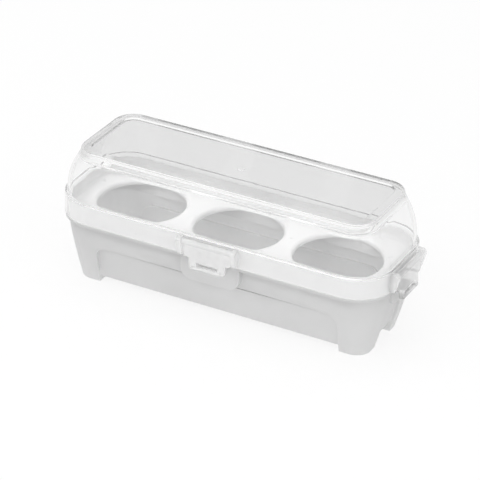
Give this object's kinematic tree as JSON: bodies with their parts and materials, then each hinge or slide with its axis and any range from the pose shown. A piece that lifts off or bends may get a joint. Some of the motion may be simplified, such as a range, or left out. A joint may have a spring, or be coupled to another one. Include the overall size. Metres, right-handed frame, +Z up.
{
  "type": "egg keeper",
  "caption": "Low oblong egg keeper: frosted tub on four feet, white drop-in tray with a row of egg holes, clear domed lid on a rear hinge, held by two hinged latches.",
  "frame": {"origin": "middle of the object's box, at the height of the feet", "axes": "+X along the row of holes, towards the end that has a latch; +Y towards the hinge; +Z up"},
  "size_m": [0.1844, 0.0748, 0.0734],
  "materials": {
    "frosted_tub": "frosted, translucent",
    "white_tray": "smooth",
    "clear_lid": "clear, polished",
    "clear_latch": "clear, polished"
  },
  "bodies": {
    "base": {"base_tub": "frosted_tub", "egg_tray": "white_tray"},
    "lid": {"lid": "clear_lid"},
    "front_latch": {"front_latch": "clear_latch"},
    "end_latch": {"end_latch": "clear_latch"}
  },
  "joints": [
    {"name": "lid_hinge", "type": "hinge", "parent": "base", "child": "lid", "pos_m": [0, 0.0344, 0.03675], "axis": [-1, 0, 0], "range_deg": [0, 180]},
    {"name": "front_latch_hinge", "type": "hinge", "parent": "lid", "child": "front_latch", "pos_m": [-0.00215, -0.0352, 0.045], "axis": [-1, 0, 0], "range_deg": [0, 120]},
    {"name": "end_latch_hinge", "type": "hinge", "parent": "lid", "child": "end_latch", "pos_m": [0.08984, -0.0012, 0.045], "axis": [0, -1, 0], "range_deg": [-6, 114]}
  ]
}
